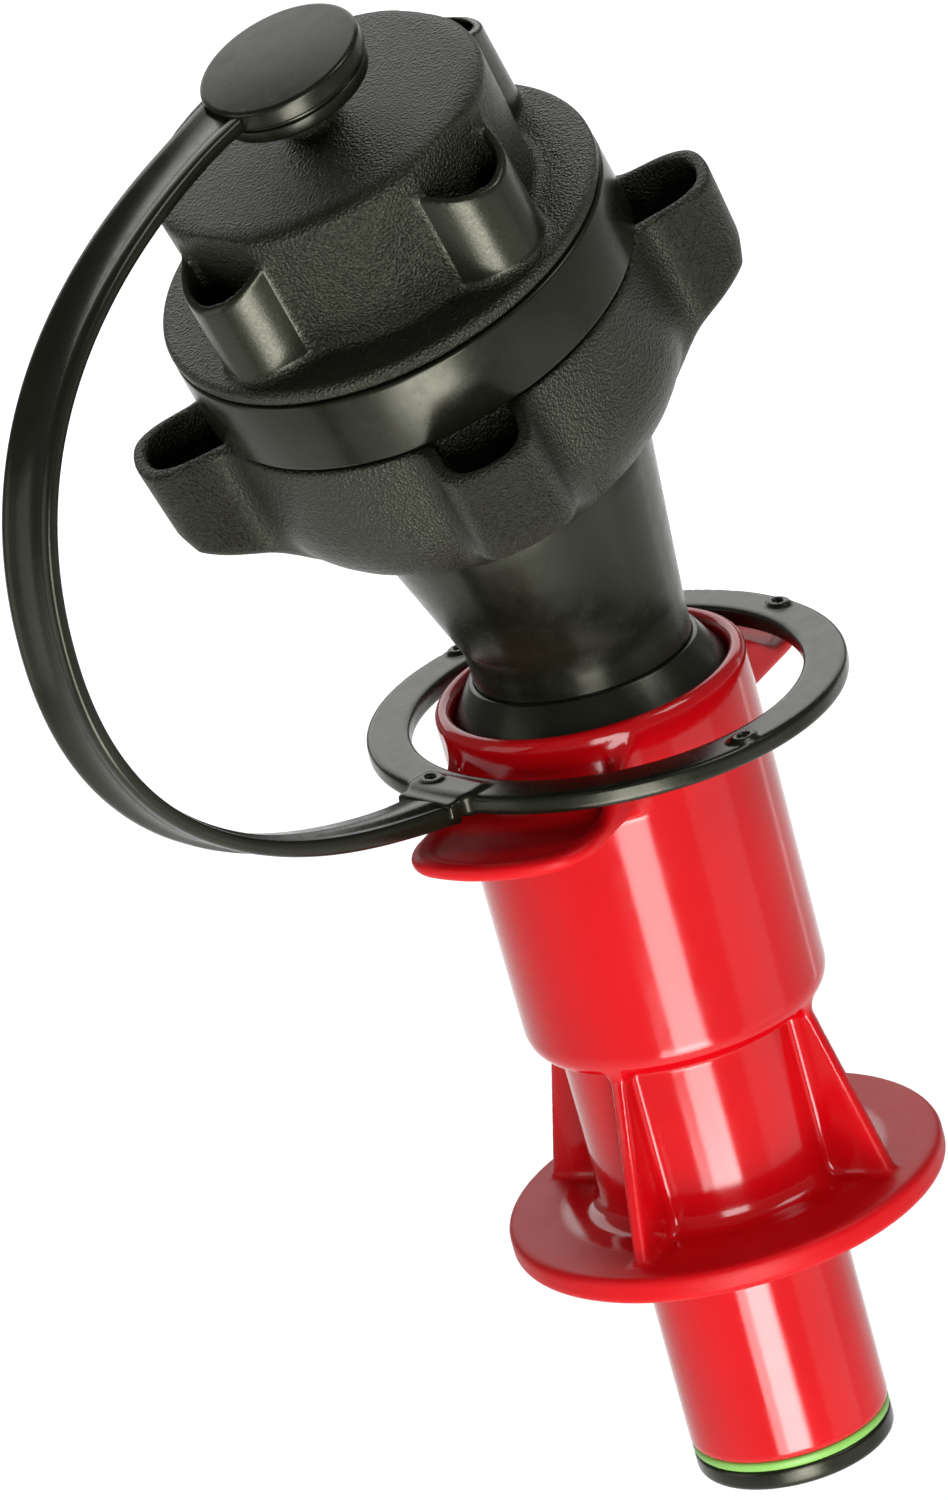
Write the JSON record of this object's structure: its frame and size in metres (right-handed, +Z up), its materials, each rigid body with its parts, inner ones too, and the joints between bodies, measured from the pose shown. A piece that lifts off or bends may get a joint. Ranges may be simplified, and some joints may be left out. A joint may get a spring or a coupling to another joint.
{
  "type": "canister filling spout valve",
  "caption": "Bent filling spout for a fuel canister: a spring-loaded sleeve opens a disc valve at the tip, with a winged union nut and a screw cap on a tether.",
  "frame": {"origin": "centre of the lower end of the spout's tip, on the spout's axis", "axes": "+Z up the spout's axis towards the nut; the nut's axis leans 17 degrees from +Z towards -X, where the tether's loop is"},
  "size_m": [0.1048, 0.0542, 0.1779],
  "materials": {
    "red_gloss": "gloss moulded",
    "black_grained": "fine moulded grain",
    "black_satin": "satin moulded",
    "black_rubber": "matt",
    "green_rubber": "satin",
    "white_plastic": "natural",
    "steel": "plain drawn"
  },
  "bodies": {
    "neck": {"neck": "black_satin", "neck_collar": "black_satin", "guide_seal": "black_rubber", "upper_spider": "black_satin", "lower_spider": "black_satin", "valve_rod": "steel", "rod_nut": "steel", "rod_clip": "steel", "valve_head": "black_satin", "valve_ring": "green_rubber", "valve_screw": "steel", "vent_tube": "white_plastic", "neck_gasket": "black_rubber", "strap_upper": "black_satin", "strap_lower": "black_satin", "return_spring": "steel"},
    "sleeve": {"spout_sleeve": "red_gloss", "spring_washer": "steel", "tether_ring": "black_satin"},
    "nut": {"union_nut": "black_grained", "adapter_ring": "black_satin", "adapter_seal": "black_rubber"},
    "tether_head": {"tether_disc": "black_satin"},
    "cap": {"cap": "black_grained", "cap_gasket": "black_rubber"}
  },
  "joints": [
    {"name": "sleeve_slide", "type": "slide", "parent": "neck", "child": "sleeve", "axis": [0, 0, 1], "range_m": [0, 0.008], "stiffness_N_per_m": 2500, "springref_m": -0.008, "deforming": ["return_spring", "strap_lower"]},
    {"name": "nut_spin", "type": "hinge", "parent": "neck", "child": "nut", "pos_m": [0, 0, 0.1044], "axis": [-0.2924, 0, 0.9563], "continuous": true},
    {"name": "cap_lift", "type": "slide", "parent": "neck", "child": "tether_head", "axis": [-0.2924, 0, 0.9563], "range_m": [0, 0.01], "deforming": ["strap_upper"]},
    {"name": "cap_turn", "type": "hinge", "parent": "tether_head", "child": "cap", "pos_m": [0, 0, 0.1044], "axis": [-0.2924, 0, 0.9563], "range_deg": [0, 900]}
  ],
  "couplings": [
    {"joint": "cap_lift", "follows": "cap_turn", "m_per_rad": 0.0006366}
  ]
}
